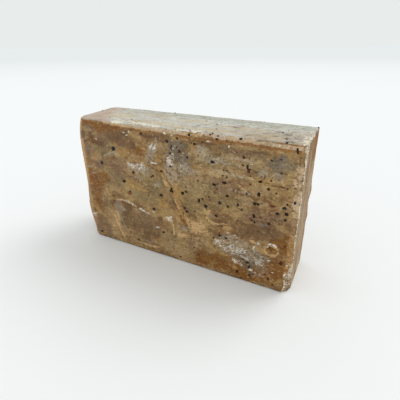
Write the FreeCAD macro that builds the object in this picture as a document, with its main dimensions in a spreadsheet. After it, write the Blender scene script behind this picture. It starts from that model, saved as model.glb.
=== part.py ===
import FreeCAD, Part
import os
import re
import Sketcher

# Bar of handmade soap, standing on its long narrow side. One solid, millimetres. The origin is at
# the middle of the face it stands on. X runs along the bar, from the moulded, rounded end on the
# left to the sawn end on the right. The large speckled face looks towards -Y.
Vector = FreeCAD.Vector

# Driving sizes, in millimetres and degrees.
SIZES = {
    # the block as it was cut from the mould
    "bar_length": 95.0,
    "bar_height": 55.0,
    "bar_thickness": 24.0,
    "back_skew": 1.2,
    "end_skew": 0.9,
    "top_fall": 0.8,
    # the moulded end: belly low down, waist above it, crown leaning in at the top
    "belly_height": 13.5,
    "waist_depth": 1.05,
    "waist_height": 32.0,
    "crown_depth": 3.0,
    "foot_depth": 1.9,
    # rounded edges
    "front_corner": 5.5,
    "back_corner": 3.5,
    "crown_round": 1.2,
    "foot_round": 0.7,
    # the worn top front edge, which widens towards the sawn end
    "worn_start": -8.0,
    "worn_deeper": 0.8,
    "worn_wider": 0.2,
    "worn_wave": 0.1,
    # the corner broken off at the foot of the sawn end
    "chip_height": 15.5,
    "chip_width": 2.6,
    "chip_set": 3.6,
    # the shallow hollow where a blister of soap flaked away
    "hollow_place": -14.4,
    "hollow_height": 12.0,
    "hollow_width": 31.0,
    "hollow_tall": 19.2,
    "hollow_depth": 0.95,
    "hollow_draft": 35.0,
    # the burst air bubble
    "bubble_place": 40.1,
    "bubble_height": 16.5,
    "bubble_width": 4.4,
    "bubble_tall": 3.2,
    "bubble_depth": 0.7,
    # the folded crease above the hollow
    "crease_place": 18.6,
    "crease_height": 27.4,
    "crease_bend": 6.2,
    "crease_round": 0.8,
    "crease_depth": 0.35,
    "crease_sweep": 105.0,
}

document = FreeCAD.newDocument("soap")
sheet = document.addObject("Spreadsheet::Sheet", "sizes")
for row, (alias, size) in enumerate(SIZES.items(), start=1):
    sheet.set(f"A{row}", alias.replace("_", " "))
    sheet.set(f"B{row}", str(size))
    sheet.setAlias(f"B{row}", alias)
document.recompute()

body = document.addObject("PartDesign::Body", "soap_bar")
body.Label = "soap_bar"
planes = {feature.Role: feature for feature in body.Origin.OriginFeatures}
front = "-bar_thickness / 2"
sawn_end = "bar_length / 2"
moulded_end = "-bar_length / 2"


def on_sheet(text):
    """The expression with each size's name as the sheet knows it."""
    return re.sub(r"[a-z]+_[a-z]+", lambda name: "sizes." + name[0], text)


def number(text):
    """What an expression comes to now, in millimetres or degrees."""
    return float(sheet.evalExpression(on_sheet(text)))


def bind(feature, **properties):
    """Ties a feature's properties to expressions on the sheet."""
    for name, text in properties.items():
        feature.setExpression(name.replace("__", "."), on_sheet(text))


def sketch_on(plane, name, **offset):
    """An empty sketch on one of the body's own planes, moved off it by expressions."""
    sketch = body.newObject("Sketcher::SketchObject", name)
    sketch.AttachmentSupport = [(planes[plane], "")]
    sketch.MapMode = "FlatFace"
    bind(sketch, **{"AttachmentOffset__Base__" + axis: text for axis, text in offset.items()})
    return sketch


def draw(sketch, *runs):
    """A closed outline of runs, each a list of (across, up) expressions.

    Two points are a straight line, and more are the control points of a smooth curve. Each run
    ends where the next begins. Every point is held by two dimensions bound to the sheet.
    """
    starts = []
    ends = []
    for run in runs:
        points = [Vector(number(across), number(up), 0) for across, up in run]
        if len(points) == 2:
            line = sketch.addGeometry(Part.LineSegment(*points))
            handles = [(line, 1)]
            ends.append((line, 2))
        else:
            degree = min(3, len(points) - 1)
            spans = len(points) - degree
            ends_held = [degree + 1] + [1] * (spans - 1) + [degree + 1]
            curve = Part.BSplineCurve()
            curve.buildFromPolesMultsKnots(points, ends_held, [float(k) for k in range(spans + 1)],
                                           False, degree)
            spline = sketch.addGeometry(curve)
            sketch.exposeInternalGeometry(spline)
            handles = [(spline + 1 + i, 3) for i in range(len(points) - 1)]
            ends.append((spline + len(points), 3))
        starts.append(handles[0])
        for (item, spot), (across, up) in zip(handles, run):
            for kind, text in (("DistanceX", across), ("DistanceY", up)):
                held = sketch.addConstraint(Sketcher.Constraint(kind, -1, 1, item, spot, number(text)))
                sketch.setExpression(f"Constraints[{held}]", on_sheet(text))
    for end, start in zip(ends, starts[1:] + starts[:1]):
        sketch.addConstraint(Sketcher.Constraint("Coincident", *end, *start))
    document.recompute()


def feature_from(kind, name, profile, **properties):
    """A feature of the body made from one sketch."""
    feature = body.newObject("PartDesign::" + kind, name)
    feature.Profile = profile
    bind(feature, **properties)
    return feature


def removes(feature):
    """Builds a cutting feature and makes sure that it took soap away."""
    before = feature.BaseFeature.Shape.Volume
    document.recompute()
    if not feature.Shape.Volume < before:
        raise RuntimeError(feature.Name + " cuts nothing")


def round_over(name, radius, chosen):
    """Fillets the edges of the body so far that the test chooses by their two ends."""
    base = body.Tip
    edges = []
    for count, edge in enumerate(base.Shape.Edges, start=1):
        ends = [vertex.Point for vertex in edge.Vertexes]
        if len(ends) == 2 and chosen(*ends):
            edges.append(f"Edge{count}")
    if not edges:
        raise RuntimeError(name + " found no edge")
    fillet = body.newObject("PartDesign::Fillet", name)
    fillet.Base = (base, edges)
    bind(fillet, Radius=radius)
    removes(fillet)


# The block: seen from above, its back and its sawn end are a little out of square. It is first
# left long at the moulded end.
spare = 3.0
plan = sketch_on("XY_Plane", "plan")
draw(plan,
     [(f"{moulded_end} - {spare}", front), (sawn_end, front)],
     [(sawn_end, front), (f"{sawn_end} - end_skew", f"-({front}) - back_skew")],
     [(f"{sawn_end} - end_skew", f"-({front}) - back_skew"),
      (f"{moulded_end} - {spare}", f"-({front}) + back_skew * {spare} / bar_length")],
     [(f"{moulded_end} - {spare}", f"-({front}) + back_skew * {spare} / bar_length"),
      (f"{moulded_end} - {spare}", front)])
block = feature_from("Pad", "block", plan, Length=f"bar_height + {spare}")
document.recompute()

# The top was sawn by hand and falls a little towards the front.
crest = "(bar_height - top_fall)"
slope = "top_fall / bar_thickness"
above = f"bar_height + 2 * {spare}"
sawn = sketch_on("YZ_Plane", "sawn_top")
near = f"{front} - {spare}"
far = f"-({front}) + {spare}"
draw(sawn,
     [(near, f"{crest} - {slope} * {spare}"), (far, f"bar_height + {slope} * {spare}")],
     [(far, f"bar_height + {slope} * {spare}"), (far, above)],
     [(far, above), (near, above)],
     [(near, above), (near, f"{crest} - {slope} * {spare}")])
top_cut = feature_from("Pocket", "top_cut", sawn, Length="bar_length * 2")
top_cut.SideType = "Symmetric"
removes(top_cut)

# The moulded end, seen from the front: it bellies out low down, draws in to a waist and leans
# in at the crown. Everything beyond this line goes.
moulded = sketch_on("XZ_Plane", "moulded_profile")
beyond = f"{moulded_end} - 2 * {spare}"
draw(moulded,
     [(f"{moulded_end} + crown_depth * 2", f"bar_height + {spare}"),
      (f"{moulded_end} + crown_depth", "bar_height"),
      (f"{moulded_end} + waist_depth", "bar_height - crown_depth * 2"),
      (f"{moulded_end} + waist_depth * 0.9", "(bar_height + waist_height) / 2"),
      (f"{moulded_end} + waist_depth", "waist_height"),
      (f"{moulded_end} + waist_depth", "(waist_height + belly_height) / 2"),
      (f"{moulded_end} - waist_depth * 0.15", "belly_height * 1.12"),
      (f"{moulded_end} - waist_depth * 0.05", "belly_height * 0.7"),
      (f"{moulded_end} + foot_depth", "belly_height * 0.3"),
      (f"{moulded_end} + foot_depth", "0")],
     [(f"{moulded_end} + foot_depth", "0"), (f"{moulded_end} + foot_depth", f"-{spare}")],
     [(f"{moulded_end} + foot_depth", f"-{spare}"), (beyond, f"-{spare}")],
     [(beyond, f"-{spare}"), (beyond, above)],
     [(beyond, above), (f"{moulded_end} + crown_depth * 2", above)],
     [(f"{moulded_end} + crown_depth * 2", above),
      (f"{moulded_end} + crown_depth * 2", f"bar_height + {spare}")])
end_cut = feature_from("Pocket", "moulded_end", moulded)
end_cut.SideType = "Symmetric"
bind(end_cut, Length="bar_thickness * 3")
removes(end_cut)

# Rounded corners of the mould, first the two upright ones and then the rims above and below.
left_of = number(moulded_end) + number("front_corner") + spare
right_of = number(sawn_end) - number("end_skew") - spare


def upright_at_mould(a, b):
    return abs(a.z - b.z) > number("bar_height") / 2 and max(a.x, b.x) < left_of


def on_top(point):
    return abs(number(f"{crest} + {slope} * ({point.y} - ({front}))") - point.z) < 0.01


def on_foot(point):
    return abs(point.z) < 0.01


round_over("front_corner", "front_corner", lambda a, b: upright_at_mould(a, b) and a.y < 0)
round_over("back_corner", "back_corner", lambda a, b: upright_at_mould(a, b) and a.y > 0)
round_over("crown_rim", "crown_round", lambda a, b: on_top(a) and on_top(b) and min(a.x, b.x) < right_of)
round_over("foot_rim", "foot_round", lambda a, b: on_foot(a) and on_foot(b) and min(a.x, b.x) < right_of)

# The worn top front edge: beyond the rounding of the rim, a bevel that starts along the edge,
# deepens towards the sawn end and wavers as it goes. Each section is the corner worn away there.
stations = [("worn_start", 0.25, 0.0), ("worn_start + bar_length * 0.12", 0.6, 0.5),
            ("bar_length * 0.18", 0.8, -1.0), ("bar_length * 0.34", 0.94, 1.0),
            (f"bar_length / 2 + {spare}", 1.0, 0.0)]
sections = []
for count, (station, share, wave) in enumerate(stations, start=1):
    drop = f"(crown_round + worn_deeper * {share} + worn_wave * {wave})"
    inset = f"(crown_round + worn_wider * {share})"
    bulge = 0.12 + 0.14 * share
    section = sketch_on("YZ_Plane", f"worn_{count}", z=station)
    foot = (front, f"{crest} - {drop}")
    bend = (f"{front} + {inset} * {bulge}", f"{crest} - {drop} * {bulge}")
    brow = (f"{front} + {inset}", f"{crest} + {slope} * {inset}")
    draw(section,
         [foot, bend, brow],
         [brow, (brow[0], above)],
         [(brow[0], above), (near, above)],
         [(near, above), (near, foot[1])],
         [(near, foot[1]), foot])
    sections.append(section)
worn = feature_from("SubtractiveLoft", "worn_edge", sections[0])
worn.Sections = sections[1:]
removes(worn)

# The broken corner at the foot of the sawn end: a sloping facet that runs out up the edge, so
# at its tip the section lies just off the corner.
tip = -0.08
facet_low = sketch_on("XY_Plane", "chip_foot", z="0")
facet_high = sketch_on("XY_Plane", "chip_tip", z="chip_height")
for sketch, share in ((facet_low, 1.0), (facet_high, tip)):
    draw(sketch,
         [(f"{sawn_end} - chip_width * {share}", front),
          (f"{sawn_end} - chip_width * {share * 0.35}", f"{front} + chip_set * {share * 0.4}"),
          (f"{sawn_end}", f"{front} + chip_set * {share}")],
         [(f"{sawn_end}", f"{front} + chip_set * {share}"),
          (f"{sawn_end} + {spare}", f"{front} + chip_set * {share}")],
         [(f"{sawn_end} + {spare}", f"{front} + chip_set * {share}"),
          (f"{sawn_end} + {spare}", f"{front} - {spare}")],
         [(f"{sawn_end} + {spare}", f"{front} - {spare}"),
          (f"{sawn_end} - chip_width * {share}", f"{front} - {spare}")],
         [(f"{sawn_end} - chip_width * {share}", f"{front} - {spare}"),
          (f"{sawn_end} - chip_width * {share}", front)])
chip = feature_from("SubtractiveLoft", "broken_corner", facet_low)
chip.Sections = [facet_high]
removes(chip)

# The hollow: its floor tilts, so the wall is full depth at the left and runs out at the right.
# The outline goes round from its lowest left point by the wall, the ragged top and the foot, and
# is drawn twice, on the floor and wider at the mouth.
def hollow_outline(name, rise, flare):
    level = f"bar_thickness / 2 - hollow_depth / 2 + {rise}"
    sketch = sketch_on("XZ_Plane", name, x="hollow_place", y="hollow_height", z=level)
    sketch.AttachmentOffset = FreeCAD.Placement(Vector(), FreeCAD.Rotation(Vector(0, 1, 0), 1.0))
    bind(sketch, AttachmentOffset__Rotation__Angle="-atan(hollow_depth / hollow_width)")

    def run(*shares):
        wide = f"(hollow_width + 2 * {flare})"
        tall = f"(hollow_tall + 2 * {flare})"
        return [(f"{wide} * {across}", f"{tall} * {up}") for across, up in shares]

    draw(sketch,
         run((-0.36, -0.42), (-0.38, -0.2), (-0.46, 0.02), (-0.54, 0.38), (-0.44, 0.5), (-0.30, 0.5)),
         run((-0.30, 0.5), (-0.14, 0.46), (-0.1, 0.37), (0.02, 0.34)),
         run((0.02, 0.34), (0.2, 0.42), (0.36, 0.5), (0.5, 0.1), (0.5, 0.0)),
         run((0.5, 0.0), (0.44, -0.12), (0.3, -0.5), (-0.1, -0.5), (-0.36, -0.42)))
    return sketch


mouth_rise = "hollow_depth * 1.5"
flaked = feature_from("SubtractiveLoft", "hollow", hollow_outline("hollow_floor", "0", "0"))
flaked.Sections = [hollow_outline("hollow_mouth", mouth_rise, f"{mouth_rise} * tan(hollow_draft)")]
removes(flaked)

# The burst bubble: a small oval dish near the sawn end.
bubble = body.newObject("PartDesign::SubtractiveEllipsoid", "burst_bubble")
bubble.AttachmentSupport = [(planes["XZ_Plane"], "")]
bubble.MapMode = "FlatFace"
bubble.Angle1 = -90
bubble.Angle2 = 90
bubble.Angle3 = 360
bind(bubble, Radius1="bubble_depth", Radius2="bubble_width / 2", Radius3="bubble_tall / 2",
     AttachmentOffset__Base__x="bubble_place", AttachmentOffset__Base__y="bubble_height",
     AttachmentOffset__Base__z="bar_thickness / 2")
removes(bubble)

# The crease: a groove bent like a smile, part of a ring that lies just proud of the face.
crease = body.newObject("PartDesign::SubtractiveTorus", "crease")
crease.AttachmentSupport = [(planes["XZ_Plane"], "")]
crease.MapMode = "FlatFace"
crease.AttachmentOffset = FreeCAD.Placement(Vector(), FreeCAD.Rotation(Vector(0, 0, 1), -90.0))
bind(crease, Radius1="crease_bend", Radius2="crease_round", Angle3="crease_sweep",
     AttachmentOffset__Base__x="crease_place", AttachmentOffset__Base__y="crease_height",
     AttachmentOffset__Base__z="bar_thickness / 2 + crease_round - crease_depth",
     AttachmentOffset__Rotation__Angle="-90 - crease_sweep / 2")
removes(crease)

document.recompute()
for item in document.Objects:
    if "Invalid" in item.State or "Error" in item.State:
        raise RuntimeError(f"{item.Name} did not build: {item.State}")
if body.Shape.isNull() or not body.Shape.isValid() or len(body.Shape.Solids) != 1:
    raise RuntimeError("the bar is not one valid solid")

os.makedirs("parts", exist_ok=True)
body.Shape.exportStep(f"parts/{body.Label}.step")
box = body.Shape.BoundBox
print(f"soap_bar {box.XLength:.2f} x {box.YLength:.2f} x {box.ZLength:.2f} mm,"
      f" {body.Shape.Volume / 1000:.1f} cm3")
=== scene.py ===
import math

import bmesh
import bpy
import numpy as np
from mathutils import Matrix, Vector, bvhtree, noise


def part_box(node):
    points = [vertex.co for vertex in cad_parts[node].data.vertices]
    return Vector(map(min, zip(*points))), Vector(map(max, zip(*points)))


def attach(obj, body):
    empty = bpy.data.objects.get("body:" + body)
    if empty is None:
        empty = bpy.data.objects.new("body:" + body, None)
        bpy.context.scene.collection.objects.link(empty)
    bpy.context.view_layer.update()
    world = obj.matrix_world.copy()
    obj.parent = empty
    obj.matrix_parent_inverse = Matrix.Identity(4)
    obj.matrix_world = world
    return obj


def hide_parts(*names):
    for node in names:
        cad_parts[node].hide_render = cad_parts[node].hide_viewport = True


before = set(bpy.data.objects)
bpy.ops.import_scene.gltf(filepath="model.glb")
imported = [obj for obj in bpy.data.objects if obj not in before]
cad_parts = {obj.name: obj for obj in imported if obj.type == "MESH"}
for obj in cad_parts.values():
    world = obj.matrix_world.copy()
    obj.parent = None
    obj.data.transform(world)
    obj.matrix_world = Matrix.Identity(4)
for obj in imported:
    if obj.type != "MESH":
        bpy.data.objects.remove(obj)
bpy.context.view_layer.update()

# The camera looks down on the speckled front from a little to its right. It stands about 135 mm
# from the middle of the bar, so the near end is clearly the larger one.
MM = 0.001
camera = bpy.data.objects.new("camera", bpy.data.cameras.new("camera"))
camera.data.lens = 29.41
camera.data.sensor_width = 36.0
camera.data.clip_start = 0.01
camera_place = Vector((62.87, -105.64, 80.49)) * MM
camera_turn = math.radians(28.26)
camera_down = math.radians(25.52)
camera_roll = math.radians(-0.57)
camera.matrix_world = (Matrix.Translation(camera_place) @ Matrix.Rotation(camera_turn, 4, "Z")
                       @ Matrix.Rotation(math.pi / 2 - camera_down, 4, "X")
                       @ Matrix.Rotation(camera_roll, 4, "Z"))
bpy.context.scene.collection.objects.link(camera)
bpy.context.scene.camera = camera
bpy.context.scene.view_settings.view_transform = "Standard"

# The bar: one block of cold-process soap. One end took the shape of the mould, the top and the
# other end were cut by hand, and the face has dried, flaked and been rubbed since. Places and
# sizes from here on are in millimetres in the part's frame, unless they say MM.
skin_step = 0.46
lowest, highest = [np.array(corner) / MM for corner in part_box("soap_bar")]


def skin_of(node, step):
    """A CAD node's surface laid out again as an even grid, with points enough for the relief."""
    shell = bmesh.new()
    shell.from_mesh(node.data)
    bmesh.ops.remove_doubles(shell, verts=shell.verts, dist=1e-6)
    surface = bvhtree.BVHTree.FromBMesh(shell)
    mesh = bpy.data.meshes.new("joined")
    shell.to_mesh(mesh)
    shell.free()
    joined = bpy.data.objects.new("joined", mesh)
    bpy.context.scene.collection.objects.link(joined)
    remesh = joined.modifiers.new("even_grid", "REMESH")
    remesh.mode = "VOXEL"
    remesh.voxel_size = step * MM
    skin = bmesh.new()
    skin.from_object(joined, bpy.context.evaluated_depsgraph_get())
    bpy.data.objects.remove(joined)
    bmesh.ops.smooth_vert(skin, verts=skin.verts, factor=0.5, use_axis_x=True, use_axis_y=True,
                          use_axis_z=True)
    for vertex in skin.verts:
        vertex.co = surface.find_nearest(vertex.co)[0]
    skin.normal_update()
    return skin


def new_piece(name, shape):
    """A smooth-shaded object made from a bmesh, which it frees."""
    mesh = bpy.data.meshes.new(name)
    shape.to_mesh(mesh)
    shape.free()
    mesh.polygons.foreach_set("use_smooth", [True] * len(mesh.polygons))
    piece = bpy.data.objects.new(name, mesh)
    bpy.context.scene.collection.objects.link(piece)
    return piece


skin = skin_of(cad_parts["soap_bar"], skin_step)
places = np.array([v.co for v in skin.verts]) / MM
outward = np.array([v.normal for v in skin.verts])
x, y, z = places.T


def ripple(size, seed, stretch=(1, 1, 1), detail=3):
    """Smooth noise from -1 to 1 on each vertex, with lumps about `size` millimetres across."""
    shift = Vector((seed * 17.3, seed * 5.1, seed * 9.7))
    steps = places / (size * np.array(stretch))
    return np.array([noise.fractal(Vector(step) + shift, 1.0, 2.0, detail) for step in steps])


def ease(value, low, high):
    """0 below low, 1 above high and smooth between."""
    share = np.clip((value - low) / (high - low), 0, 1)
    return share * share * (3 - 2 * share)


sway_x, sway_z = ripple(4.5, 1), ripple(4.5, 2)
jitter_x, jitter_z = ripple(1.7, 3), ripple(1.7, 4)
coarse, fine = ripple(3.2, 11), ripple(1.1, 12)


def patch(across, up, half_wide, half_tall, turn=0, edge=None, plane=z):
    """1 inside a tilted oval on the front, 0 outside it, with a soft and wandering edge."""
    narrow = min(half_wide, half_tall)
    edge = edge or min(0.9, 0.35 + 0.22 * narrow)
    far_sway, near_sway = min(1.8, 0.7 * narrow), min(0.8, 0.5 * narrow)
    wide_x = x - across + far_sway * sway_x + near_sway * jitter_x
    wide_z = plane - up + far_sway * sway_z + near_sway * jitter_z
    angle = math.radians(turn)
    along = wide_x * math.cos(angle) + wide_z * math.sin(angle)
    aside = wide_z * math.cos(angle) - wide_x * math.sin(angle)
    return 1 - ease(np.hypot(along / half_wide, aside / half_tall), 1 - edge, 1 + edge)


def patches(*ovals, plane=z):
    """The strongest of several ovals at each vertex, on the front or, with y as plane, on the top."""
    return np.max([patch(*oval, plane=plane) for oval in ovals], axis=0)


def stroke(half_wide, *points):
    """1 along a line drawn on the front from point to point, falling to 0 at half_wide from it."""
    drawn_x, drawn_z = x + 0.25 * jitter_x, z + 0.25 * jitter_z
    away = np.full(len(x), 1e3)
    for start, end in zip(points, points[1:]):
        run_x, run_z = end[0] - start[0], end[1] - start[1]
        off_x, off_z = drawn_x - start[0], drawn_z - start[1]
        share = np.clip((off_x * run_x + off_z * run_z) / (run_x ** 2 + run_z ** 2), 0, 1)
        away = np.minimum(away, np.hypot(off_x - share * run_x, off_z - share * run_z))
    return 1 - ease(away / half_wide, 0.25, 1.0)


def strokes(*lines):
    """The strongest of several lines at each vertex; each is a half width and its points."""
    return np.max([stroke(*line) for line in lines], axis=0)


# Which side of the bar a vertex lies on, from 0 to 1. The top and the two ends are kept to where
# they are, so the steep walls of the hollow don't count as them.
near_sawn_end, near_moulded_end, near_top = x > 43, x < -40, z > 50
on_front = ease(-outward[:, 1], 0.3, 0.75)
on_back = ease(outward[:, 1], 0.35, 0.8)
on_top = ease(outward[:, 2], 0.45, 0.8) * near_top
on_sawn = ease(outward[:, 0], 0.45, 0.8) * near_sawn_end
on_mould = ease(-outward[:, 0], 0.3, 0.8) * near_moulded_end
on_foot = ease(-outward[:, 2], 0.5, 0.85)

# The shallow hollow low on the left, where a skin of soap flaked off: its lip, its side wall, painted
# grey as its shade, and its floor. The lip stands a little proud along the top, where it is ragged.
lip = stroke(0.8, (-28.6, 20), (-25, 21.4), (-21, 21.4), (-18.4, 20), (-15.4, 19.8), (-12, 18.8), (-8, 19.8),
             (-4, 19.2), (-0.9, 18), (1.2, 14.5), (1.2, 10))
wall = strokes((1.5, (-28.6, 18.2), (-28.4, 17)), (1.1, (-27.8, 19.8), (-28.6, 18), (-28.1, 15.6)),
               (0.8, (-27.7, 15.2), (-26.6, 11.4), (-25.4, 8)), (0.4, (-25.2, 7.6), (-24.5, 5.6)))
hollow_floor = patches((-15, 11.5, 11, 7.2, -2, 0.3), (-22, 14, 5, 6, 10, 0.2))

# A bubble burst near the sawn end and left a ring: -1 in its middle, 0 on its proud rim, which is
# cream on top and golden inside.
ring_across, ring_up = 40.1, 16.6
ring = np.hypot((x - ring_across) / 2.55, (z - ring_up) / 1.95) - 1
ring_points = [(ring_across + 2.5 * math.cos(0.7 * step), ring_up + 1.9 * math.sin(0.7 * step))
               for step in range(10)]

# What lies where on the face, laid out in millimetres. An oval is its middle, its half
# width and height and its turn in degrees, and a line is its half width and its points.
ovals = {
    "amber": ((-39, 27, 5.4, 7), (-38, 18, 2.6, 3), (-32, 52.6, 12, 1.8), (-14, 53, 9, 1),
              (-14, 44.5, 2.6, 2), (18, 4.6, 9, 3.6, 4), (31, 3.6, 9, 3), (44.4, 20, 2.4, 4),
              (43, 8, 3.6, 6), (-28.5, 23, 1.1, 0.9), (-19.6, 40.8, 0.9, 0.4), (-33, 31, 3, 2),
              (-20, 25.4, 1.4, 1), (41, 20.4, 2.4, 1.4), (31.6, 11.4, 2.2, 1.4), (40, 16.9, 1.5, 0.7),
              (5.6, 20, 2.4, 1.2, -60), (-36, 46.5, 2, 1.4)),
    "olive": ((15, 33, 11, 6), (20, 46.5, 9, 4), (5, 45, 6, 6), (-31, 43, 6, 4), (-28, 31, 7, 4),
              (36, 47, 8, 4), (-8, 31, 7, 5), (-12, 26, 9, 2.4), (8, 27, 6, 3), (-2, 36, 4, 3),
              (-1, 9, 4, 3), (-33, 20, 3, 3)),
    "mauve": ((-41.2, 47, 3, 5), (34, 27.6, 6, 2.6), (-24, 37, 5, 3), (-40, 42, 3, 3), (-38, 5, 6, 4),
              (22, 37, 6, 2.4), (28, 49, 10, 1.6), (-31, 48, 3, 3), (38, 8, 4, 2.4), (10, 9, 4, 3),
              (-24, 33, 3, 2), (-35, 36, 2.4, 2), (41, 29, 3, 3)),
    "dark": ((36, 22, 8, 2.8, 12), (-22, 48, 7, 3.4, -10), (-39.5, 45.4, 1.8, 0.5, 20), (-8, 50.6, 5, 0.6),
             (16, 51, 4, 0.4), (33, 50.3, 4, 0.4), (0, 0.2, 50, 0.5), (-41, 13.2, 1.3, 0.8),
             (-5.6, 17.4, 1.3, 0.8), (-13, 7, 3.4, 2.6), (-35.6, 24.4, 2.4, 0.4, 20), (-17, 46.6, 2.4, 1.6),
             (-36.8, 48, 1.4, 1.6), (-41.6, 48, 1.4, 2), (-33, 45.4, 2.6, 1.4)),
    "gold": ((3.4, 31, 2, 4.4, 20), (-12.6, 46, 2, 1.6), (-39.6, 16, 2.4, 4), (4, 21, 2.4, 3),
             (-8.6, 45, 1.4, 2), (37, 41, 4, 1), (-16, 30, 5, 2, -20), (-3, 25, 3, 1.6),
             (40.1, 16.2, 1.9, 1.3), (9.4, 48, 2.2, 1.8), (-4, 42.8, 1.8, 1.6), (33.6, 18.3, 1.4, 0.6),
             (-21, 42.6, 3, 1.4)),
    "tan": ((22, 41.4, 9, 2), (11, 38, 5, 3), (34, 38, 5, 2), (25, 46.4, 5, 1.8), (9, 34, 3, 3),
            (30, 33, 3, 2), (-30, 12, 3, 5), (30, 46, 6, 2), (12, 47, 4, 2), (2, 14, 3, 4), (-14, 15, 7, 4),
            (-18, 7, 5, 2), (-4, 11, 3, 3), (2, 5, 7, 3), (-27, 4, 6, 2.4), (12, 12, 4, 2),
            (28, 51.6, 6, 0.8), (36, 33, 2, 1.4), (-5, 47.6, 4, 1.6)),
    "peach": ((11, 18, 3.6, 2.6), (15.3, 25.9, 1.4, 0.9), (7.3, 19.6, 0.9, 1.3), (4.4, 12.6, 1.8, 1.2),
              (31, 41.6, 1.6, 0.4), (28.8, 14.8, 1.2, 0.5), (23.4, 15, 1.4, 0.6), (33.8, 18.3, 1.3, 0.6),
              (-30.7, 7.5, 1, 0.6), (-2.4, 18.6, 1.7, 1.1), (40.3, 14.7, 2, 0.45),
              (-2, 33.6, 1.6, 0.8, -50)),
    "slate": ((21.4, 16.5, 2.8, 1), (32.2, 8.4, 2.2, 2), (0.8, 49.4, 1.5, 1.6), (5, 46.8, 3.4, 3),
              (3.4, 44.4, 2.2, 1.6), (7, 48, 2, 1.6), (39.5, 49.4, 2.4, 1.4), (7.4, 15.4, 1, 0.4),
              (33, 5.4, 0.5, 3), (28, 11, 3, 1.2), (36, 12.4, 2.4, 1.6), (24, 13.4, 2, 0.8),
              (-8, 43.6, 1.4, 2)),
    "bloom": ((40, 43.4, 2.2, 1.8), (39.6, 47, 3.4, 2.6), (3, 46.4, 4, 3.2), (-33, 37, 0.9, 0.9),
              (-37.6, 51, 2, 0.7), (-40, 42.6, 2, 0.5, 10), (17, 24.4, 0.9, 0.4), (7, 43, 2.6, 2),
              (36.6, 25.6, 1.7, 0.6)),
    "faint": ((-5.4, 32.2, 1.4, 1.2), (-14.4, 33.4, 2.2, 0.7), (6, 16.6, 1.4, 1), (36, 4.6, 2.4, 0.6),
              (-12.6, 4.6, 2, 0.5), (-8, 43.6, 2, 3), (-14, 37, 5, 2), (27, 14, 6, 3.6), (35, 44, 1.6, 1),
              (2, 38, 3.4, 3.4), (7, 40, 4, 2), (-26, 17, 1.6, 1.2), (35, 12, 4, 3), (17, 46, 5, 1.4),
              (13, 48, 3, 2)),
    "ash": ((-17, 38.2, 2.4, 1.1), (-13, 39, 2.2, 0.8), (-13, 37.4, 1.6, 0.8), (0.4, 42.4, 1.3, 1.8),
            (2.4, 47.8, 1, 0.6), (1.2, 45.2, 0.8, 1.2), (20.2, 14, 1.3, 1.4), (25.2, 12.2, 3.8, 1.3, -8),
            (27, 7.7, 1.1, 1), (29.5, 7.4, 0.7, 0.7), (33.2, 5.6, 1.1, 0.7), (35.4, 5.4, 1.2, 0.4),
            (31, 10.2, 1.4, 0.5), (36, 10.6, 1.7, 1.6), (39.5, 12.4, 0.8, 0.5), (33.9, 15.6, 0.7, 0.9),
            (26.8, 18.8, 1.3, 0.6), (-42, 11.2, 1.4, 1), (-7, 13.2, 1, 0.5), (-1.5, 19, 1.6, 0.8),
            (-6.4, 46.6, 1.4, 1.6), (35.6, 18.1, 0.5, 0.7), (23.7, 18.8, 0.5, 0.4), (30, 12.4, 1.6, 0.8)),
    "chalk": ((-1.2, 52.6, 0.7, 0.35), (1.9, 52.5, 0.6, 0.3), (-19.8, 50.8, 0.6, 0.4),
              (-18.6, 50, 0.4, 0.3), (-17, 51.4, 0.4, 0.3), (-34.3, 47, 0.45, 0.45), (23.2, 50.8, 0.3, 0.6),
              (16.2, 51.9, 0.9, 0.25), (-7.6, 13.1, 0.6, 0.35), (0.2, 42.6, 0.6, 0.9), (-0.2, 44, 0.7, 0.3),
              (-7.4, 40.6, 0.8, 0.35), (-17, 38.3, 1.2, 0.35), (-16.4, 37.6, 0.8, 0.3),
              (-12.4, 39.6, 1, 0.25), (35.6, 18, 0.4, 0.5), (31.3, 46.2, 0.3, 0.3), (19.6, 14.2, 0.5, 0.9),
              (-1.8, 19, 0.9, 0.4), (-42.2, 11.4, 0.7, 0.5), (37.5, 53.2, 0.3, 0.2), (39.4, 53.2, 0.3, 0.2),
              (33.8, 15.6, 0.3, 0.7), (39.4, 12.2, 0.8, 0.4), (26.8, 7.8, 0.6, 0.6), (33.2, 5.7, 0.6, 0.4)),
    "rough": ((23, 13, 4.6, 3), (30, 12, 7, 4, -20), (36, 10.6, 4.4, 3, -10), (33, 6.6, 3, 2),
              (3.4, 45.6, 3.4, 4)),
}
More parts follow.
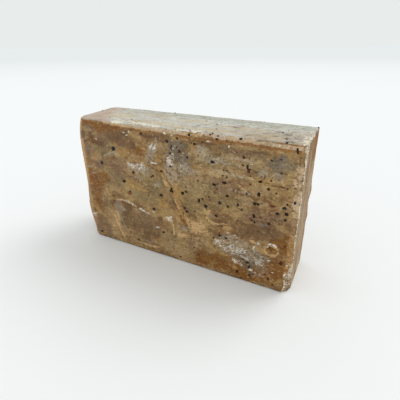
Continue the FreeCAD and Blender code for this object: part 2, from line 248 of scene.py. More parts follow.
lines = {
    # The tan lines run along the bottom lip of the hollow: a painted highlight where its lower side faces up
    # into the light.
    "tan": ((0.9, (-26.4, 6), (-25, 4.4), (-22, 3.4)), (0.7, (-22, 3.4), (-14, 2.6), (-7, 3.6))),
    "gold": ((2.0, (-4.4, 39.6), (-1, 34.5), (2.5, 30), (4, 24.5), (7, 19)),),
    "vein_and_rim_shadow": ((0.4, (-3.6, 38.6), (-1.2, 35), (0.4, 32.6)),
             (0.4, (-0.6, 29.6), (1.4, 26.4), (3, 23), (5, 20.4)),
             (0.35, (3.4, 29), (5, 26.4), (6.6, 23.4)), (0.3, (36, 40.6), (39.2, 40.3), (43, 40.2)),
             (0.35, (-12, 29.6), (-8, 28.4)), (0.3, (17, 22.6), (21, 23.4)),
             # The last line here and the first on the next, under the ragged top lip of the hollow, are a
             # painted shadow, not veins.
             (0.3, (13, 36.4), (16.4, 36.8)), (0.3, (-17.6, 20.6), (-16.4, 19.2), (-12, 17.8)),
             (0.35, (-24, 20.4), (-20, 20.2), (-18.6, 19)), (0.3, (38, 30.6), (40.6, 32.6))),
    # Several peach lines are painted light: the lit bottom and top lips of the hollow and its right rim, the
    # glow of the thin rim beside its wall, the highlight on the crease, and a band of painted highlight
    # under the top front edge.
    "peach": ((0.3, (-17, 2.7), (-12, 2.6), (-7.6, 3.5)), (0.4, *ring_points),
              (0.8, (14.6, 23.6), (16.4, 21.9), (19, 21.4)), (0.45, (19, 21.4), (23, 22.4)),
              (1.4, (-29.4, 14.8), (-28.6, 11), (-27.2, 7), (-25.8, 4.6)),
              (0.9, (-28.4, 20.8), (-25.6, 21.8), (-20.8, 21.8), (-17.4, 20.4)),
              (0.6, (-0.6, 18.4), (0.6, 15.6), (0.6, 12.4)), (0.5, (7.6, 16.9), (13, 16.4), (15.6, 17.6)),
              (1.0, (-30, 54), (-22, 53.5), (-14, 53.3)), (1.0, (-14, 53.3), (-5, 53.3), (8, 53)),
              (0.6, (8, 53), (13, 53.2)), (0.35, (26.3, 38.6), (28.6, 37.4), (30.2, 36.3)),
              (0.3, (27, 37.2), (29.4, 37.2)), (0.4, (-2.4, 39), (0.2, 35), (2, 32)),
              (0.35, (2.2, 27), (4, 23), (5.6, 20)), (0.35, (5.6, 22), (7.2, 18.6))),
    # The pale lines along the top front edge are partly a painted highlight on the rounded lip there.
    "pale": ((0.45, (12, 53.6), (18, 53.6)), (0.9, (18, 53.5), (32, 53.3), (46, 52.9)),
             (0.7, (-30, 54.2), (-20, 53.8), (-12, 53.6)), (0.9, (-10, 53.8), (0, 53.5), (7, 53.2))),
    "burnt": ((0.7, (4, 52.3), (12, 52), (25, 52.3), (45.6, 51.9)),
              (0.55, (21, 54.3), (31, 54.2), (45.8, 53.9)), (0.6, (-42, 53.8), (-30, 53.5))),
    "faint": ((0.8, (-24, 54), (-10, 53.6), (5, 53.2)), (0.8, (-31, 40.4), (-28, 41.4), (-25.6, 42.4)),
              (0.7, (-27.6, 41.6), (-24, 41.8)), (1.0, (-9.4, 41.6), (-8.6, 44), (-6.6, 46.4), (-5, 50)),
              (0.6, (-41, 34), (-38, 35)), (0.6, (-40, 31.4), (-36, 32.6)),
              (0.5, (12, 44.6), (20, 45.4), (27, 45)), (0.5, (24, 47.4), (33, 47)),
              (0.6, (24, 36.4), (32, 35.6)), (0.5, (18, 42), (26, 41.4), (32.3, 41.2)),
              (0.4, (38.4, 41.4), (37.8, 43), (39, 44.4), (41, 43.8), (41.4, 42), (39.6, 41.2))),
    # The first ash line lies on the hollow's top lip: partly dry flakes, partly a painted highlight where
    # the lip catches the light.
    "ash": ((0.6, (-26, 21.6), (-21.4, 21.8), (-17.6, 20.5)),
            (0.45, (-14.6, 39.2), (-10, 40.4), (-4.6, 40.8)),
            (0.35, (17.6, 53.1), (20.6, 53.7), (23.4, 54.3))),
    "chalk": ((0.5, (-15.6, 20), (-13.4, 19.4), (-11.2, 18.2)), (0.25, (-23.4, 21.8), (-20.6, 21.5)),
              (0.35, (-9.2, 20.2), (-7.4, 19.8)), (0.4, (38.6, 18.7), (40.2, 19.3), (41.8, 18.6))),
}
masks = {}
for name in {**ovals, **lines}:
    in_ovals = patches(*ovals[name]) if name in ovals else 0
    on_lines = strokes(*lines[name]) if name in lines else 0
    masks[name] = np.maximum(in_ovals, on_lines) * on_front
masks["wall"] = wall * on_front
masks["ash"] = 0.8 * masks["ash"]

# The sides that don't face the front have the same colours in wide clouds, each with its size
# in millimetres, its seed and its strength.
beside_front = 1 - on_front
for name, size, seed, share in (("olive", 14, 21, 0.6), ("mauve", 12, 22, 0.6), ("amber", 10, 23, 0.4),
                                ("gold", 9, 24, 0.4), ("tan", 8, 25, 0.6), ("dark", 16, 26, 0.5)):
    cloud = ease(ripple(size, seed, (1.5, 1, 1)), 0.1, 0.45)
    masks[name] = np.maximum(masks[name], beside_front * share * cloud)
masks["amber"] = np.maximum(masks["amber"], on_sawn * ease(z, 41, 47) * ease(y, -2, 4))
masks["dark"] = np.maximum(masks["dark"], hollow_floor * on_front * 0.6)

# The cut top, as ovals again but across and deep: greyer to the back, yellower to the front and
# rosy brown towards the moulded end, with a few bluish smudges near the sawn end.
masks["sage"] = on_top * patches((-5, 8, 30, 4, 0, 0.6), (30, 7, 20, 4, 0, 0.6), plane=y)
masks["ochre"] = on_top * patches((-30, -2, 7, 3), (-10, -7, 11, 2.6), (10, -8, 14, 2), (33, -8, 7, 2.4),
                                  (4, 1, 8, 1.6), (24, -2, 9, 1.4), (-14, 4, 7, 1.4), plane=y)
rosy_end = ease(-x - 0.4 * y + 2 * sway_x, 26, 42)
rosy_edge = ease(-y, 8, 10.5) * ease(-x, 26, 30)
masks["rosy"] = on_top * np.maximum(rosy_end, rosy_edge)
masks["smudge"] = on_top * patches((36.4, -1.6, 1.8, 0.6), (39.4, -3.4, 1.6, 0.6), (40, -7.6, 1.6, 0.8),
                                   (41.4, -9.8, 1.4, 0.7), (44, -6.4, 1.6, 0.6), (36, -6.4, 1.2, 0.5),
                                   (33, -4.6, 1.6, 0.5), (20, -1, 1.8, 0.5), (-2, 2.6, 1.6, 0.5),
                                   (8, -4, 1.2, 0.5), (28, -8.6, 1.4, 0.5), plane=y)


def along(value, *spans):
    """The strongest of several spans at each vertex; each is a middle, a half length and a strength."""
    return np.max([ease(-abs(value - middle), -half - 0.7, -half) * strength
                   for middle, half, strength in spans], axis=0)


# The edges of the face. They crumble where they are dry, and where the soap is thin enough to let
# light through, a painted glow stands in for that light. The top front edge has a painted highlight.
top_edge = ease(np.minimum(outward[:, 2], -outward[:, 1]), 0.12, 0.45) * ease(z, 54.0, 54.6)
front_corner = ease(np.minimum(outward[:, 0], -outward[:, 1]), 0.06, 0.3) * near_sawn_end
top_corner = ease(np.minimum(outward[:, 0], outward[:, 2]), 0.06, 0.3) * near_sawn_end
broken_foot = ease(x, 44.6, 46.2) * ease(-y, 8.4, 10.4) * ease(-z, -14, -10)
chips = along(z, (51.6, 2.2, 0.8), (45.4, 0.8, 0.5), (39.6, 0.5, 0.6), (34.6, 1, 0.9), (28.4, 0.4, 0.5),
              (23.4, 0.9, 1.0), (11, 1.6, 1.0), (8, 1.4, 0.9), (3.5, 1.2, 0.15))
left_rim = (ease(-x - 0.4 * jitter_x, 40.8, 42.4) * ease(-outward[:, 1], 0.05, 0.4)
            * (0.45 + 0.55 * ease(z, 22, 34)))
right_rim = (ease(x + 0.7 * jitter_z, 43.4, 46.4) * ease(z, 8, 34) * ease(-z, -51, -46)
             * (0.75 + 0.4 * coarse))
masks["painted_glow"] = np.max([
    left_rim,
    top_edge * along(x, (-36, 7.6, 0.9)),
    on_front * right_rim * 0.5,
    on_front * ease(x + 0.3 * jitter_z, 44.4, 45.8) * along(z, (16, 8, 0.55))], axis=0)
# The thin right rim is also painted paler, as part of the same painted glow.
masks["pale"] = np.maximum(masks["pale"], on_front * right_rim * (0.55 + 0.4 * ease(z, 26, 38)))
# Crumbs and chips on the broken edges and corners, and a painted highlight along the top front edge and on
# the top just behind it.
masks["crest"] = np.max([
    top_edge * along(x, (-23.6, 2.6, 1.0), (-16, 1, 0.4), (-9, 1, 0.5), (-3, 1.6, 0.6), (4, 5, 1.0),
                     (12.4, 2.4, 0.7), (46.5, 1, 1)),
    front_corner * chips,
    top_corner * along(y, (-9, 3, 1.0), (-3, 3, 0.7), (6, 5, 0.35)),
    broken_foot * 0.17,
    strokes((0.5, (45.4, 0.6), (45.7, 4), (45.4, 8.4))) * (y < -9) * 0.8,
    on_top * ease(x + 0.9 * jitter_x, 43.4, 46) * ease(-y, -2, 5) * 0.5,
    on_top * patches((-23.6, -11, 3, 1.8), plane=y) * 0.85,
    on_top * patches((-15, -9.4, 6, 1.6), (-6, -10.4, 4, 1), (8, -11, 6, 0.7), plane=y) * 0.55,
    on_sawn * ease(-y, 9, 11.2) * along(z, (3, 4, 0.18), (12, 3, 0.6), (24, 10, 0.5), (36, 1.4, 0.6),
                                        (48, 6, 0.5))], axis=0)

# Where the dry film covers the cut top, which falls from back to front, where the saw cut the
# end, where the fine specks are and where the veins run down to the right.
top_fall, thickness = 0.8, 24
below_top = highest[2] - top_fall * (highest[1] - y) / thickness - z
masks["film"] = (on_top * (1 - ease(below_top + 0.12 * jitter_x, 0.12, 0.4))
                 * (1 - 0.36 * ease(x, 5, 36) * ease(-y, -4, 6)) * (1 - 0.25 * ease(-x - 0.5 * y, 32, 40)))
masks["end"] = on_sawn
masks["speck"] = np.clip(0.35 + 0.65 * ease(x, -12, 16) - 0.5 * hollow_floor * on_front, 0, 1)
masks["slant"] = on_front * patches((1.5, 29, 6, 13, 22, 0.4))

# Relief, in millimetres along the outward direction: the lumps of the whole bar, what each kind
# of wear adds or takes, the ring, the pits, the saw's lines and the uneven edges.
relief = 0.10 * ripple(11.0, 5) + 0.05 * coarse + 0.03 * fine
relief += masks["rough"] * (0.20 * fine + 0.28 * coarse - 0.05) - 0.12 * masks["slate"]
relief += 0.22 * lip * on_front * (0.75 + 0.5 * coarse) - 0.06 * masks["wall"] - 0.10 * masks["vein_and_rim_shadow"]
relief += masks["chalk"] * 0.20 + masks["ash"] * 0.10 * (1 + fine)
relief += (0.08 * masks["peach"] + 0.07 * masks["gold"] * (0.5 + coarse) - 0.10 * masks["burnt"]
           + 0.08 * masks["pale"])
relief += on_front * (0.5 * np.exp(-(ring / 0.2) ** 2) * (0.8 + 0.5 * fine) - 0.12 * ease(-ring, 0, 0.4))
relief -= on_front * patches((-41.8, 11.4, 1.6, 1.1), (-34, 47, 0.8, 0.7)) * 0.22
relief += on_top * 0.035 * ripple(1.0, 31, (14, 1, 1), 2) + on_sawn * 0.07 * ripple(1.1, 32, (1, 1, 12), 2)
relief += on_back * 0.035 * ripple(1.3, 33, (12, 1, 1), 2)
relief += masks["crest"] * (0.16 * fine + 0.12 * coarse)
relief += front_corner * np.minimum(0, 0.5 * coarse + 0.4 * fine) + broken_foot * (0.4 * fine + 0.2 * coarse)
far_edge = on_sawn * ease(y, 9, 11.6)
edge_waves = ((31.5, 2.2, 0.5), (27, 1.6, -0.35), (21, 2.2, 0.3))
relief += far_edge * sum(lift * np.exp(-((z - up) / half_tall) ** 2) for up, half_tall, lift in edge_waves)
relief *= 1 - on_foot
for vertex, normal, lift in zip(skin.verts, outward, relief):
    vertex.co += Vector(normal) * (float(lift) * MM)
    vertex.co.z = max(vertex.co.z, lowest[2] * MM)
worn_places = np.array([v.co for v in skin.verts])
soap = new_piece("soap", skin)
for name, values in masks.items():
    layer = soap.data.attributes.new(name, "FLOAT", "POINT")
    layer.data.foreach_set("value", np.clip(values, 0, 1).astype(np.float32))

# Cold-process soap, satin: warm browns in swirls, worn dull where it crumbles, with a pale dry
# film of soda ash on the cut top. The eye gets a mottled, slightly see-through, waxy face.
smooth = {"interpolation_type": "SMOOTHSTEP"}
of_colours = {"data_type": "RGBA"}
times = {"operation": "MULTIPLY"}
times_plus = {"operation": "MULTIPLY_ADD"}


def colour(code):
    """An sRGB hex code as the linear colour that a shader socket takes."""
    parts = [int(code[i:i + 2], 16) / 255 for i in (1, 3, 5)]
    return [part / 12.92 if part <= 0.04045 else ((part + 0.055) / 1.055) ** 2.4 for part in parts] + [1.0]


def fresh_material(name):
    """An empty material and its tree, with an output to link to."""
    material = bpy.data.materials.new(name)
    material.use_nodes = True
    material.node_tree.nodes.clear()
    return material, material.node_tree


def add(tree, kind, settings=None, **links):
    """Adds a node, sets its properties, and fills its inputs with values or other nodes' sockets.

    An input goes by its name, with _ for a space, or as i and its number.
    """
    node = tree.nodes.new("ShaderNode" + kind)
    for name, value in (settings or {}).items():
        setattr(node, name, value)
    for name, value in links.items():
        socket = node.inputs[int(name[1:])] if name[1:].isdigit() else node.inputs[name.replace("_", " ")]
        if isinstance(value, bpy.types.NodeSocket):
            tree.links.new(value, socket)
        else:
            socket.default_value = value
    return node


def tinge(tree, base, code, pattern, low, high, share=1.0):
    """Lays a colour over the base where a pattern goes from low to high, up to a share of it."""
    base = colour(base) if isinstance(base, str) else base
    cover = add(tree, "MapRange", smooth, Value=pattern, From_Min=low, From_Max=high, To_Max=share)
    return add(tree, "Mix", of_colours, i0=cover.outputs[0], i6=base, i7=colour(code)).outputs[2]


material, tree = fresh_material("cold_process_soap")
mask = {name: add(tree, "Attribute", {"attribute_name": name}).outputs["Fac"] for name in masks}


def mottle(place, size, detail, stretch=(1, 1, 1)):
    """A noise from 0 to 1 with lumps about `size` millimetres across, drawn out along x, y or z."""
    lump = [size * MM * part for part in stretch]
    spread = add(tree, "VectorMath", {"operation": "DIVIDE"}, i0=place, i1=lump).outputs[0]
    return add(tree, "TexNoise", Vector=spread, Scale=1.0, Detail=detail, Roughness=0.62).outputs["Fac"]


def worn(base, name, code, pattern, tear, share):
    """Lays a colour over the base where its mask is, with edges torn by a pattern."""
    torn = add(tree, "Math", times_plus, i0=pattern, i1=tear, i2=1 - tear / 2)
    torn = add(tree, "Math", times, i0=mask[name], i1=torn.outputs[0])
    return tinge(tree, base, code, torn.outputs[0], 0.2, 0.8, share)


def specked(base, code, cell, dot, fewest, channel, many, share):
    """Lays round specks, `dot` millimetres across, over the base in some cells of a jittered grid."""
    cells = add(tree, "TexVoronoi", Vector=bent, Scale=1 / (cell * MM))
    drawn = add(tree, "SeparateColor", Color=cells.outputs["Color"])
    drawn = add(tree, "Math", times, i0=drawn.outputs[channel], i1=many)
    held = add(tree, "MapRange", smooth, Value=drawn.outputs[0], From_Min=fewest, From_Max=fewest + 0.06)
    edge = dot / 2 / cell
    near = add(tree, "MapRange", smooth, Value=cells.outputs["Distance"], From_Min=0.6 * edge,
               From_Max=1.3 * edge, To_Min=share, To_Max=0.0)
    cover = add(tree, "Math", times, i0=near.outputs[0], i1=held.outputs[0])
    return add(tree, "Mix", of_colours, i0=cover.outputs[0], i6=base, i7=colour(code)).outputs[2]


# The soap was stirred, so its patterns are pulled about by a drift of a few millimetres. Each
# pattern has the size of the real thing: swirls 5 mm, clouds 2 to 3.4 mm and grit under 1 mm.
drift_size = 6 * MM
place = add(tree, "TexCoord").outputs["Object"]
drift = add(tree, "TexNoise", Vector=place, Scale=1 / drift_size, Detail=3.0).outputs["Color"]
pull = add(tree, "VectorMath", {"operation": "SUBTRACT"}, i0=drift, i1=(0.5, 0.5, 0.5)).outputs[0]
bent = add(tree, "VectorMath", times_plus, i0=pull, i1=[drift_size] * 3, i2=place).outputs[0]
about_y = {"rotation_type": "Y_AXIS"}
steep = add(tree, "VectorRotate", about_y, Vector=bent, Angle=math.radians(-58)).outputs[0]
leaning = add(tree, "VectorRotate", about_y, Vector=bent, Angle=math.radians(28)).outputs[0]
swirls = mottle(bent, 5.0, 7.0, (1.4, 1, 1))
warmth = mottle(bent, 3.4, 4.0, (1, 1, 1.3))
blotch = mottle(bent, 2.0, 5.0)
crumbs = mottle(place, 0.9, 3.0)
grit = mottle(bent, 0.55, 4.0)
flecks = mottle(leaning, 0.6, 4.0, (2.2, 1, 1))
fewer = add(tree, "Math", {"operation": "SUBTRACT"}, i0=flecks, i1=0.05).outputs[0]
level_veins = mottle(bent, 0.8, 4.0, (6, 1, 1))
steep_veins = mottle(steep, 0.8, 4.0, (7, 1, 1))
veins = add(tree, "Mix", i0=mask["slant"], i2=level_veins, i3=steep_veins).outputs[0]

# The soap itself: light and dark brown, the wide clouds, then veins, grit and flecks, and over
# them the marks, from the painted glow of the thin edges to the chalky flakes. The grey of the
# hollow's wall is painted shade, part of the vein lines a painted shadow under its lip, and some
# peach, pale, tan and ash lines are painted highlights.
base = tinge(tree, "#7c5c36", "#ab8b5a", swirls, 0.38, 0.62)
base = tinge(tree, base, "#8f6234", warmth, 0.5, 0.66, 0.55)
for name, code, share in (("olive", "#84724b", 0.6), ("mauve", "#7d6149", 0.65), ("gold", "#b38c4e", 0.6),
                          ("tan", "#b0956a", 0.55), ("amber", "#7d4c06", 0.95)):
    base = worn(base, name, code, blotch, 3.0, share)
for pattern, low, high, code, share in (
        (veins, 0.54, 0.68, "#c4a26c", 0.45), (veins, 0.46, 0.34, "#68482a", 0.45),
        (grit, 0.56, 0.7, "#bfa478", 0.4), (grit, 0.44, 0.3, "#5c4230", 0.4),
        (flecks, 0.58, 0.7, "#cfb284", 0.3), (flecks, 0.42, 0.3, "#7d4c1e", 0.35)):
    base = tinge(tree, base, code, pattern, low, high, share)
for name, code, pattern, tear, share in (
        ("painted_glow", "#c5965f", crumbs, 1.6, 0.8), ("dark", "#64462c", blotch, 2.4, 0.75),
        ("slate", "#443d3b", crumbs, 8.0, 0.55), ("vein_and_rim_shadow", "#5d3c24", crumbs, 3.0, 0.7),
        ("peach", "#d2ad7a", flecks, 3.0, 0.72), ("pale", "#ccb190", crumbs, 2.4, 0.8),
        ("bloom", "#746d67", flecks, 10.0, 0.62), ("wall", "#8a857c", crumbs, 3.0, 0.8),
        ("burnt", "#8f5a24", blotch, 3.0, 0.65), ("rough", "#7d684b", flecks, 9.0, 0.45),
        ("faint", "#b9b09e", flecks, 8.0, 0.4), ("ash", "#dad7d2", fewer, 13.0, 0.88),
        ("chalk", "#efe8d7", flecks, 4.0, 0.92)):
    base = worn(base, name, code, pattern, tear, share)
for pattern, darkest, lightest in ((crumbs, 0.80, 1.18), (blotch, 0.88, 1.12)):
    shade = add(tree, "MapRange", smooth, Value=pattern, From_Min=0.3, From_Max=0.7,
                To_Min=darkest, To_Max=lightest)
    base = add(tree, "VectorMath", {"operation": "SCALE"}, i0=base, Scale=shade.outputs[0]).outputs[0]

# The dry film on the cut top, dragged along by the blade and thin over the darker swirls.
dragged = mottle(bent, 0.7, 5.0, (7, 1, 1))
fog = tinge(tree, "#b1aa99", "#d9d7cd", dragged, 0.34, 0.66)
for name, code, share in (("sage", "#a9ad9e", 0.5), ("ochre", "#ccb68c", 0.5), ("rosy", "#c9b0a0", 0.65),
                          ("smudge", "#666980", 0.8)):
    fog = worn(fog, name, code, blotch, 4.0, share)
fog = tinge(tree, fog, "#e9e5da", crumbs, 0.55, 0.75, 0.6)
fog = tinge(tree, fog, "#8f866f", grit, 0.42, 0.3, 0.4)
fog = tinge(tree, fog, "#8a8172", flecks, 0.4, 0.28, 0.45)
thick = add(tree, "MapRange", smooth, Value=swirls, From_Min=0.3, From_Max=0.55, To_Min=0.7, To_Max=1.0)
cover = add(tree, "Math", times, i0=mask["film"], i1=thick.outputs[0])
base = add(tree, "Mix", of_colours, i0=cover.outputs[0], i6=base, i7=fog).outputs[2]

# The sawn end: upright lines from the blade over wider bands, and clearer where it is amber.
rasped = mottle(place, 0.7, 5.0, (1, 1, 12))
bands = mottle(place, 4.0, 3.0, (1, 1, 7))
lined = tinge(tree, "#5e4935", "#bda386", rasped, 0.36, 0.64)
banded = tinge(tree, "#775f49", "#c3aa8c", bands, 0.45, 0.55)
cut = add(tree, "Mix", of_colours, i0=0.5, i6=lined, i7=banded).outputs[2]
cut = tinge(tree, cut, "#d5c2a6", grit, 0.56, 0.72, 0.5)
cover = add(tree, "Math", times_plus, i0=mask["amber"], i1=-0.64, i2=0.8)
cover = add(tree, "Math", times, i0=mask["end"], i1=cover.outputs[0])
base = add(tree, "Mix", of_colours, i0=cover.outputs[0], i6=base, i7=cut).outputs[2]

# The crumbled crests in cream, with the painted highlight of the top front edge, and the finest specks, pale
# ones and two kinds of dark ones.
torn = add(tree, "Math", times_plus, i0=crumbs, i1=9.0, i2=-3.4)
torn = add(tree, "Math", times, i0=mask["crest"], i1=torn.outputs[0])
base = tinge(tree, base, "#ece3cd", torn.outputs[0], 0.25, 0.7, 0.95)
off_film = add(tree, "Math", times_plus, i0=mask["film"], i1=-0.6, i2=1.0).outputs[0]
base = specked(base, "#cdbb96", 1.3, 0.55, 0.72, 1, off_film, 0.5)
base = specked(base, "#3f2a1c", 1.7, 0.5, 0.34, 0, mask["speck"], 0.65)
base = specked(base, "#552e1c", 2.4, 0.9, 0.5, 0, mask["speck"], 0.6)

# The finish: satin on the sides, dull on the dry film and the sawn end.
dusty = add(tree, "Math", {"operation": "MAXIMUM"}, i0=mask["film"], i1=mask["end"]).outputs[0]
bumps = add(tree, "Math", i0=crumbs, i1=blotch).outputs[0]
cut_lines = add(tree, "Mix", i0=mask["end"], i2=dragged, i3=rasped).outputs[0]
height = add(tree, "Mix", i0=dusty, i2=bumps, i3=cut_lines).outputs[0]
bump = add(tree, "Bump", Height=height, Strength=0.8, Distance=0.3 * MM)
dullness = add(tree, "MapRange", smooth, Value=dusty, To_Min=0.5, To_Max=0.8)
sheen = add(tree, "MapRange", smooth, Value=dusty, To_Min=0.3, To_Max=0.1)
shader = add(tree, "BsdfPrincipled", Base_Color=base, Roughness=dullness.outputs[0], IOR=1.45,
             Specular_IOR_Level=sheen.outputs[0], Subsurface_Weight=0.15, Subsurface_Radius=(1.0, 0.5, 0.25),
             Subsurface_Scale=1.0 * MM, Normal=bump.outputs[0])
add(tree, "OutputMaterial", Surface=shader.outputs[0])
soap.data.materials.append(material)
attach(soap, "root")
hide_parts("soap_bar")

# The grains: coarse dark bits stirred into the soap, each one set in it to about half its depth.
# Most are nearly black, some are reddish and a few bluish, and they crowd on the right half.
chance = np.random.default_rng(7)
scattered_grains = 700


def set_bit(shape, tone_layer, vertex, spot, half_sizes, tone, level=1, most_spin=0.6):
    """Adds one rough bit, lying flat on the skin at a vertex; sizes are in millimetres."""
    made = bmesh.ops.create_icosphere(shape, subdivisions=level, radius=1.0)["verts"]
    outer = Vector(outward[vertex])
    turn = outer.to_track_quat("Z", "Y") if abs(outer.z) < 0.9 else Matrix.Identity(3).to_quaternion()
    shift = Vector(chance.uniform(-50, 50, 3))
    spin = Matrix.Rotation(chance.uniform(-most_spin, most_spin), 3, "Z")
    for bit_vertex in made:
        lump = 0.95 + 0.55 * noise.noise(bit_vertex.co * 1.3 + shift)
        flat = spin @ Vector([part * half for part, half in zip(bit_vertex.co, half_sizes)])
        bit_vertex.co = turn @ (flat * lump * MM) + spot
        bit_vertex.co.z = max(bit_vertex.co.z, lowest[2] * MM)
        bit_vertex[tone_layer] = tone


def nearest_vertex(off_side, *away):
    """The vertex nearest to a place, by its distances from it, among those not off the side."""
    return int(np.argmin(np.hypot(*away) + 100 * off_side))


# The large grains of the front, one by one: across, up, half width, half height and tone, and
# those of the top: across, deep, half width and tone. A tone is nearly black up to 0.25, reddish
# about 0.5 and bluish from 0.85.
front_grains = ((-25.7, 43.8, 0.9, 0.9, 1.0), (-22.2, 30.7, 0.9, 0.6, 0.1), (-19.7, 26.5, 0.7, 0.4, 0.2),
                (-17, 35.4, 0.8, 0.6, 0.4), (-11.5, 51.3, 0.8, 0.5, 0.6), (-7.7, 35.5, 0.6, 0.35, 0.1),
                (-8.6, 34.9, 0.4, 0.4, 0.2), (-4.4, 28.2, 0.8, 0.5, 0.1), (0.5, 31.7, 0.5, 0.8, 0.2),
                (0.9, 30.7, 0.6, 0.5, 0.3), (0.1, 30.9, 0.5, 0.5, 0.1), (5.4, 31, 0.7, 0.8, 0.0),
                (6.9, 31.8, 0.7, 0.4, 0.1), (6, 24.9, 0.7, 0.5, 0.8), (6.9, 23.8, 0.7, 0.6, 0.1),
                (-8.3, 21.2, 0.8, 0.6, 0.0), (-0.5, 49.8, 0.7, 0.7, 0.8), (0.4, 40.6, 0.5, 0.4, 0.9),
                (10.6, 50.2, 0.6, 0.5, 0.0), (8.5, 53, 0.6, 0.5, 0.9), (3.9, 51.3, 0.6, 0.5, 0.7),
                (17.3, 44.8, 0.8, 0.6, 1.0), (26.9, 53.6, 0.6, 0.5, 1.0), (18.8, 52.8, 0.5, 0.4, 1.0),
                (16.2, 53.8, 0.5, 0.3, 0.5), (28.4, 48.1, 0.4, 0.8, 0.4), (29.8, 45.2, 0.5, 0.7, 1.0),
                (30.2, 43.9, 0.4, 0.9, 0.7), (34.4, 40.9, 0.7, 0.5, 0.1), (18.1, 36.8, 0.9, 0.5, 0.0),
                (21.9, 38.2, 0.9, 0.5, 0.0), (34.1, 36.3, 0.6, 0.9, 0.0), (33, 32.8, 0.6, 0.6, 0.0),
                (34.2, 32.8, 0.6, 0.5, 0.1), (23.1, 33.5, 0.6, 0.6, 0.2), (27.1, 31, 0.5, 0.6, 0.8),
                (12.1, 29.5, 0.6, 0.8, 0.1), (13.5, 30.4, 0.5, 0.4, 0.2), (14.7, 27.8, 0.9, 0.7, 0.2),
                (19, 24.9, 0.7, 0.5, 0.0), (23.4, 29.5, 0.5, 0.5, 0.1), (20.3, 30.3, 0.5, 0.8, 0.9),
                (39, 33.2, 1.0, 0.4, 0.5), (40.8, 31, 0.8, 0.6, 0.0), (42.8, 33.4, 0.8, 0.6, 0.9),
                (43.6, 34.8, 0.5, 0.4, 0.9), (43.7, 31.5, 0.7, 0.7, 0.1), (43.5, 29.3, 0.6, 0.5, 0.3),
                (33, 28.2, 0.5, 0.7, 0.1), (37.2, 38.8, 0.5, 0.5, 0.2), (40.8, 44.8, 0.5, 0.4, 0.6),
                (44.7, 52.4, 0.4, 1.1, 0.9), (44.4, 19.4, 0.4, 0.7, 0.5), (43.7, 12.4, 0.7, 0.8, 0.4),
                (39.8, 4.4, 0.6, 0.8, 0.4), (27.9, 3.6, 0.7, 0.8, 0.3), (39.2, 17.1, 0.4, 0.4, 0.4),
                (3.4, 2.1, 0.7, 0.4, 0.2), (-18.3, 3.7, 0.7, 0.4, 0.3), (-4.6, 11.4, 0.7, 0.5, 0.4),
                (-39.2, 2.7, 0.7, 0.5, 0.2), (-33, 37, 0.6, 0.8, 0.9), (41.7, 2.3, 0.6, 0.4, 0.5),
                (18, 15.3, 0.5, 0.5, 0.5), (23.1, 16.5, 0.6, 0.4, 1.0), (20.5, 17, 0.6, 0.5, 1.0),
                (-3.8, 38, 0.7, 0.4, 0.5), (28.2, 45.4, 0.4, 0.4, 0.5), (43.1, 40, 0.3, 0.4, 0.5),
                (37.8, 41.8, 0.5, 0.3, 0.5), (22.6, 42.7, 0.4, 0.25, 0.3), (21.5, 42.7, 0.4, 0.25, 0.3),
                (16.1, 31.7, 0.4, 0.4, 0.5), (35.4, 28.2, 0.3, 0.3, 0.5), (7.6, 45, 0.5, 0.5, 0.9),
                (1.2, 47.6, 0.4, 0.9, 0.9), (0.7, 45.6, 0.5, 0.4, 0.9), (4.5, 46.8, 0.7, 0.6, 0.4),
                (32.4, 6.6, 0.7, 0.9, 1.0), (31.6, 8.6, 0.8, 0.5, 1.0), (30, 35.8, 0.35, 0.4, 0.3),
                (19.2, 35.4, 0.4, 0.3, 0.5), (11.9, 5.9, 0.4, 0.5, 0.4), (9.7, 8.5, 0.4, 0.3, 0.5),
                (32.3, 26.5, 0.4, 0.5, 0.5), (33.4, 26, 0.3, 0.6, 0.3), (38.3, 26.6, 0.5, 0.6, 0.2),
                (45.9, 35.9, 0.4, 0.6, 1.0), (28.7, 29.6, 0.35, 0.6, 1.0), (-23.5, 8.2, 0.5, 0.3, 0.2),
                (37.4, 48.4, 0.35, 0.35, 0.2), (32.7, 3.2, 0.35, 0.8, 0.7))
top_grains = ((40.3, -8, 0.7, 1.0), (41, -10.8, 0.6, 1.0), (37.5, -2, 0.6, 1.0), (16.9, -10.6, 0.6, 0.8),
              (8.2, -10.2, 0.5, 0.6), (13.1, 0.1, 0.6, 1.0), (7.5, 2.9, 0.5, 0.6), (46.4, 9.6, 0.7, 1.0),
              (-20, -6, 0.4, 0.5))
grains = bmesh.new()
tone_layer = grains.verts.layers.float.new("tone")
for across, up, wide, tall, tone in front_grains:
    vertex = nearest_vertex(on_front < 0.3, x - across, z - up)
    spot = Vector((across * MM, worn_places[vertex][1], up * MM))
    set_bit(grains, tone_layer, vertex, spot, (0.95 * wide, 0.95 * tall, 0.3), tone, 2, 0.2)
for across, deep, wide, tone in top_grains:
    vertex = nearest_vertex(on_top < 0.5, x - across, y - deep)
    set_bit(grains, tone_layer, vertex, Vector(worn_places[vertex]), (0.8 * wide, 0.5 * wide, 0.2), tone, 2)
weight = on_front * (0.25 + 1.4 * ease(x, -10, 14)) * (1 - 0.8 * hollow_floor) + 0.7 * on_back
weight = weight + 0.3 * (on_top + on_sawn + on_mould) + 0.2 * on_foot
for vertex in chance.choice(len(x), scattered_grains, p=weight / weight.sum()):
    half = 0.13 + 0.24 * chance.random() ** 3 + 0.15 * on_back[vertex] * chance.random()
    half_sizes = (half * chance.uniform(0.8, 1.5), half * chance.uniform(0.7, 1.2), 0.6 * half)
    set_bit(grains, tone_layer, int(vertex), Vector(worn_places[vertex]), half_sizes, 0.72 * chance.random())
grains = new_piece("grains", grains)

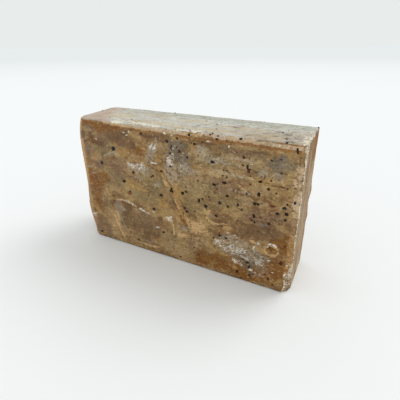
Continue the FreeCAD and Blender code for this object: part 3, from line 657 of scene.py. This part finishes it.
# Roasted plant matter: rough and nearly black, so it reads as a dot with a soft edge.
material, tree = fresh_material("dark_grains")
tone = add(tree, "Attribute", {"attribute_name": "tone"}).outputs["Fac"]
tint = tinge(tree, "#28170b", "#5c2d16", tone, 0.25, 0.5)
tint = tinge(tree, tint, "#27242a", tone, 0.6, 0.85)
shader = add(tree, "BsdfPrincipled", Base_Color=tint, Roughness=0.6, Specular_IOR_Level=0.2)
add(tree, "OutputMaterial", Surface=shader.outputs[0])
grains.data.materials.append(material)
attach(grains, "root")

# Loose crumbs and flakes of dried soap: pale bits that cling along the broken edges, on the lip
# of the hollow and all over the crumbled patch low on the right.
loose_crumbs = 860
crumb_bits = bmesh.new()
tone_layer = crumb_bits.verts.layers.float.new("tone")
weight = 1.4 * front_corner * chips + 0.9 * masks["rough"] * masks["ash"] + 0.10 * masks["rough"]
weight = weight + 0.5 * masks["chalk"] + 0.08 * broken_foot + 0.4 * top_edge * masks["crest"]
weight = weight + 0.06 * masks["ash"]
weight = weight + 0.4 * on_front * np.exp(-(ring / 0.15) ** 2) * (z > 17)
weight = weight + 0.8 * top_corner * ease(-y, 2, 8) + 0.05 * top_corner
for vertex in chance.choice(len(x), loose_crumbs, p=weight / weight.sum()):
    half = 0.13 + 0.25 * chance.random() ** 2.5
    half_sizes = (half * chance.uniform(0.8, 1.7), half * chance.uniform(0.6, 1.1), 0.5 * half)
    set_bit(crumb_bits, tone_layer, int(vertex), Vector(worn_places[vertex]), half_sizes, chance.random())
crumb_bits = new_piece("crumbs", crumb_bits)

# Dried soap: matt cream to tan, which sparkles against the brown behind it.
material, tree = fresh_material("dried_crumbs")
tone = add(tree, "Attribute", {"attribute_name": "tone"}).outputs["Fac"]
tint = add(tree, "Mix", of_colours, i0=tone, i6=colour("#a98a60"), i7=colour("#f0e8d6")).outputs[2]
shader = add(tree, "BsdfPrincipled", Base_Color=tint, Roughness=0.75, Specular_IOR_Level=0.2)
add(tree, "OutputMaterial", Surface=shader.outputs[0])
crumb_bits.data.materials.append(material)
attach(crumb_bits, "root")

# The floor: a wide pale sheet that the bar stands on. It dims a little with distance, down to
# the colour of the background, so there is no line where it ends.
sheet = bmesh.new()
bmesh.ops.create_grid(sheet, x_segments=1, y_segments=1, size=12.0)
floor_mesh = bpy.data.meshes.new("floor")
sheet.to_mesh(floor_mesh)
sheet.free()
floor = bpy.data.objects.new("floor", floor_mesh)
bpy.context.scene.collection.objects.link(floor)
floor.location.z = lowest[2] * MM
material, tree = fresh_material("pale_floor")
spot = add(tree, "TexCoord").outputs["Object"]
away = add(tree, "VectorMath", {"operation": "LENGTH"}, i0=spot).outputs["Value"]
tint = tinge(tree, "#f7f8f7", "#e8ebea", away, 0.4, 2.5)
paper = add(tree, "BsdfDiffuse", Color=tint)
add(tree, "OutputMaterial", Surface=paper.outputs[0])
floor_mesh.materials.append(material)

# Light: an even pale sky, and soft daylight from above and behind the cut end, which throws
# the shadow forward. The camera sees the sky as a plain pale backdrop.
world = bpy.data.worlds.new("room")
bpy.context.scene.world = world
world.use_nodes = True
tree = world.node_tree
tree.nodes.clear()
sky = add(tree, "Background", Color=colour("#f4f7f8"), Strength=0.87)
backdrop = add(tree, "Background", Color=colour("#e8eceb"))
seen = add(tree, "LightPath").outputs["Is Camera Ray"]
mixed = add(tree, "MixShader", i0=seen, i1=sky.outputs[0], i2=backdrop.outputs[0])
add(tree, "OutputWorld", Surface=mixed.outputs[0])
daylight = bpy.data.objects.new("daylight", bpy.data.lights.new("daylight", "SUN"))
daylight.data.energy = 0.85
daylight.data.angle = 0.6
daylight.rotation_euler = Vector((0.35, 0.45, 0.70)).to_track_quat("Z", "Y").to_euler()
bpy.context.scene.collection.objects.link(daylight)
